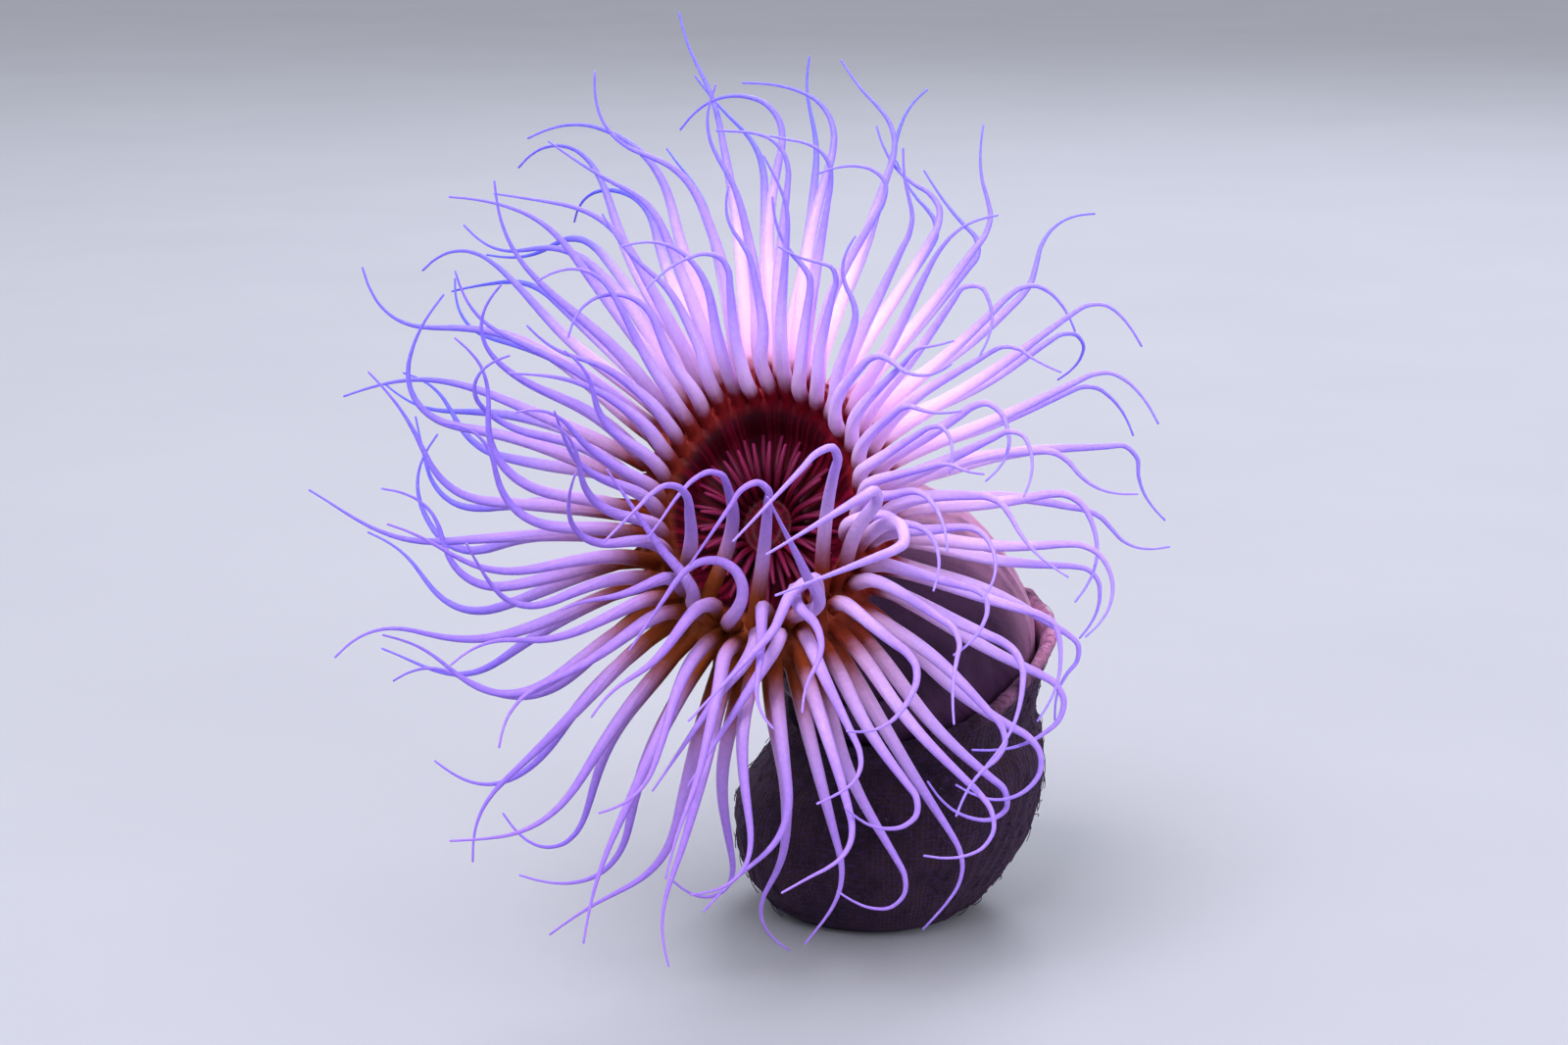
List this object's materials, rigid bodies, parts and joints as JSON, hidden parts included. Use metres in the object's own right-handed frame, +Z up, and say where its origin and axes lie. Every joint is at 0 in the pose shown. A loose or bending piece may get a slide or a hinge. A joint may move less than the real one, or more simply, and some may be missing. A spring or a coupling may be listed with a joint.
{
  "type": "sea anemone",
  "caption": "Tube anemone in a dark felt tube, its crown of long pale lavender tentacles spread and curling in the current round a maroon disc.",
  "frame": {"origin": "centre of the flat foot of the tube, on the floor", "axes": "+Z up; -Y towards the front, where the crown's mouth looks; +X to the right as seen from the front"},
  "size_m": [0.2083, 0.2067, 0.2331],
  "materials": {
    "tentacle_flesh": "moist translucent flesh, orange-brown at the roots, pale pink lavender along the length, violet blue at the tips",
    "disc_flesh": "moist dark maroon flesh with crimson streaks",
    "column_flesh": "smooth moist flesh with fine lengthwise furrows, pink mauve to dark mauve",
    "felt": "soft matted felt of threads and silt, dark brown to purple, wrinkled round the tube"
  },
  "bodies": {
    "root": {"tube_lower": "felt", "tube_upper": "felt", "tube_rim": "felt", "column_lower": "column_flesh", "column_upper": "column_flesh", "oral_disc": "disc_flesh", "labial_1": "disc_flesh", "labial_2": "disc_flesh", "labial_3": "disc_flesh", "labial_4": "disc_flesh", "tentacles_inner_01": "tentacle_flesh", "tentacles_inner_02": "tentacle_flesh", "tentacles_inner_03": "tentacle_flesh", "tentacles_inner_04": "tentacle_flesh", "tentacles_inner_05": "tentacle_flesh", "tentacles_inner_06": "tentacle_flesh", "tentacles_inner_07": "tentacle_flesh", "tentacles_inner_08": "tentacle_flesh", "tentacles_inner_09": "tentacle_flesh", "tentacles_inner_10": "tentacle_flesh", "tentacles_inner_11": "tentacle_flesh", "tentacles_inner_12": "tentacle_flesh", "tentacles_inner_13": "tentacle_flesh", "tentacles_inner_14": "tentacle_flesh", "tentacles_inner_15": "tentacle_flesh", "tentacles_inner_16": "tentacle_flesh", "tentacles_inner_17": "tentacle_flesh", "tentacles_inner_18": "tentacle_flesh", "tentacles_outer_01": "tentacle_flesh", "tentacles_outer_02": "tentacle_flesh", "tentacles_outer_03": "tentacle_flesh", "tentacles_outer_04": "tentacle_flesh", "tentacles_outer_05": "tentacle_flesh", "tentacles_outer_06": "tentacle_flesh", "tentacles_outer_07": "tentacle_flesh", "tentacles_outer_08": "tentacle_flesh", "tentacles_outer_09": "tentacle_flesh", "tentacles_outer_10": "tentacle_flesh", "tentacles_outer_11": "tentacle_flesh", "tentacles_outer_12": "tentacle_flesh", "tentacles_outer_13": "tentacle_flesh", "tentacles_outer_14": "tentacle_flesh", "tentacles_outer_15": "tentacle_flesh", "tentacles_outer_16": "tentacle_flesh", "tentacles_outer_17": "tentacle_flesh", "tentacles_outer_18": "tentacle_flesh"}
  },
  "joints": []
}
